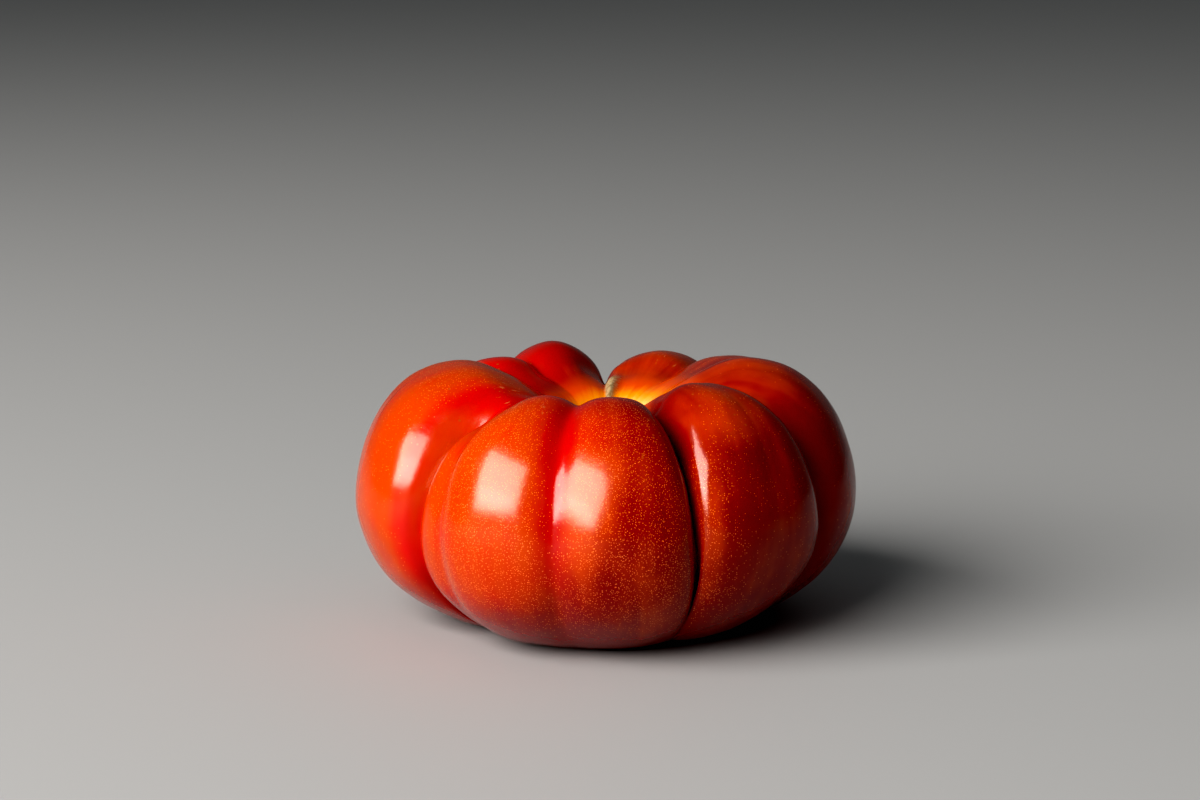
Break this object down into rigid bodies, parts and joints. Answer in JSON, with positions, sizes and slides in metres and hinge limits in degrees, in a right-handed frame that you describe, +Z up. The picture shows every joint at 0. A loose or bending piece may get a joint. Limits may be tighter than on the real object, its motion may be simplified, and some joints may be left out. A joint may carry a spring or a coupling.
{
  "type": "ribbed beefsteak tomato",
  "caption": "Large flattened ribbed tomato: plump lobes between deep grooves, a stem hollow on top and a shallow dimple below, resting on its blossom end.",
  "frame": {"origin": "middle of the bottom of the bounding box, on the surface that the tomato rests on", "axes": "+Z up along the stem axis, the shortest extent; -Y is the pictured front; +X is the picture's right"},
  "size_m": [0.1, 0.097, 0.0529],
  "materials": {
    "skin": "waxy ripe tomato skin, glossy and slightly translucent"
  },
  "bodies": {
    "root": {"tomato": "skin"}
  },
  "joints": []
}
